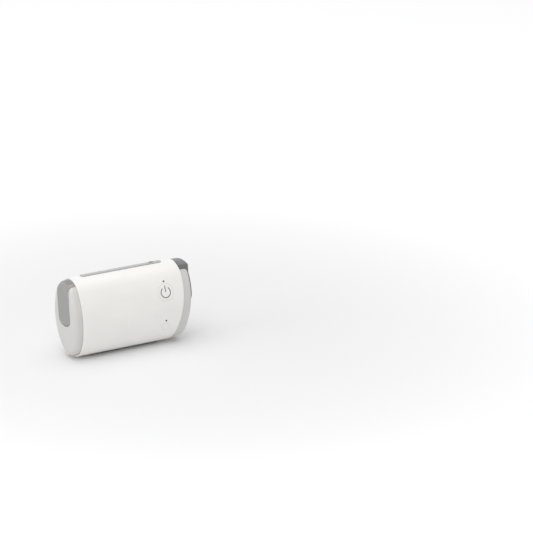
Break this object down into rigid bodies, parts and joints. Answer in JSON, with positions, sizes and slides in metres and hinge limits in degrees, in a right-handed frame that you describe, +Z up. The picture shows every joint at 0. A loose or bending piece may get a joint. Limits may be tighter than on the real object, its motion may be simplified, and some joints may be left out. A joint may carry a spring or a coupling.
{
  "type": "cpap machine",
  "caption": "Travel CPAP machine: lens-shaped sleeve leaning back on a foot strip, grey end caps, pull-off filter cover, press buttons, hose port, power jack and blower.",
  "frame": {"origin": "middle of the footprint on the surface that the foot strip stands on", "axes": "+X from the air inlet end to the hose port end, -Y the face with the buttons, +Z up; the front face leans back 6 degrees"},
  "size_m": [0.136, 0.052, 0.0841],
  "materials": {
    "sleeve_white": "fine satin moulded white",
    "cap_grey": "fine satin moulded light grey",
    "cover_grey": "fine satin moulded mid grey",
    "panel_grey": "satin moulded dark grey",
    "port_grey": "satin moulded dark grey",
    "seal_silicone": "matt silicone",
    "duct_silicone": "matt milky silicone",
    "filter_fleece": "needled filter fleece",
    "foam_charcoal": "open-cell acoustic foam",
    "jack_black": "satin black",
    "pin_nickel": "nickel plated",
    "button_white": "fine satin moulded white",
    "plunger_black": "satin",
    "switch_black": "satin",
    "light_guide": "smoked moulded light guide",
    "strip_grey": "soft-touch elastomer",
    "plug_grey": "soft-touch elastomer",
    "foot_rubber": "matt rubber",
    "blower_black": "glass-filled, matt",
    "impeller_ivory": "satin natural polymer",
    "shaft_steel": "ground",
    "magnet_dark": "epoxy coated",
    "stator_steel": "stacked laminations",
    "winding_copper": "enamelled copper wire",
    "bearing_bronze": "sintered",
    "isolator_silicone": "matt silicone",
    "board_green": "solder mask",
    "chip_black": "moulded epoxy",
    "sensor_black": "moulded epoxy",
    "tube_silicone": "clear silicone",
    "screw_steel": "zinc plated",
    "chassis_grey": "glass-filled, matt"
  },
  "bodies": {
    "housing": {"outer_sleeve": "sleeve_white", "inlet_end_cap": "cap_grey", "outlet_end_cap": "cap_grey", "outlet_panel": "panel_grey", "outlet_port": "port_grey", "outlet_seal": "seal_silicone", "outlet_duct": "duct_silicone", "air_filter": "filter_fleece", "inlet_foam": "foam_charcoal", "power_jack": "jack_black", "jack_pin": "pin_nickel", "tact_switches": "switch_black", "start_light": "light_guide", "wireless_light": "light_guide", "top_strip": "strip_grey", "strip_plug": "plug_grey", "foot_strip": "foot_rubber", "blower_base": "blower_black", "blower_lid": "blower_black", "motor_stator": "stator_steel", "motor_windings": "winding_copper", "motor_bearings": "bearing_bronze", "blower_isolators": "isolator_silicone", "main_board": "board_green", "board_parts": "chip_black", "pressure_sensor": "sensor_black", "sensing_tube": "tube_silicone", "board_screws": "screw_steel", "chassis_front": "chassis_grey", "chassis_back": "chassis_grey", "chassis_screws": "screw_steel"},
    "start_button": {"start_button": "button_white", "start_plunger": "plunger_black"},
    "wireless_button": {"wireless_button": "button_white", "wireless_plunger": "plunger_black"},
    "filter_cover": {"filter_cover": "cover_grey"},
    "blower_rotor": {"impeller": "impeller_ivory", "rotor_shaft": "shaft_steel", "rotor_magnet": "magnet_dark"}
  },
  "joints": [
    {"name": "start_press", "type": "slide", "parent": "housing", "child": "start_button", "axis": [0, 0.9945, -0.1045], "range_m": [0, 0.0006], "stiffness_N_per_m": 2000, "springref_m": -0.0003},
    {"name": "wireless_press", "type": "slide", "parent": "housing", "child": "wireless_button", "axis": [0, 0.9945, -0.1045], "range_m": [0, 0.0006], "stiffness_N_per_m": 2000, "springref_m": -0.0003},
    {"name": "filter_cover_pull", "type": "slide", "parent": "housing", "child": "filter_cover", "axis": [-1, 0, 0], "range_m": [0, 0.02]},
    {"name": "blower_spin", "type": "hinge", "parent": "housing", "child": "blower_rotor", "pos_m": [-0.013, -0.00057, 0.03682], "axis": [0, 0.9945, -0.1045], "continuous": true}
  ]
}
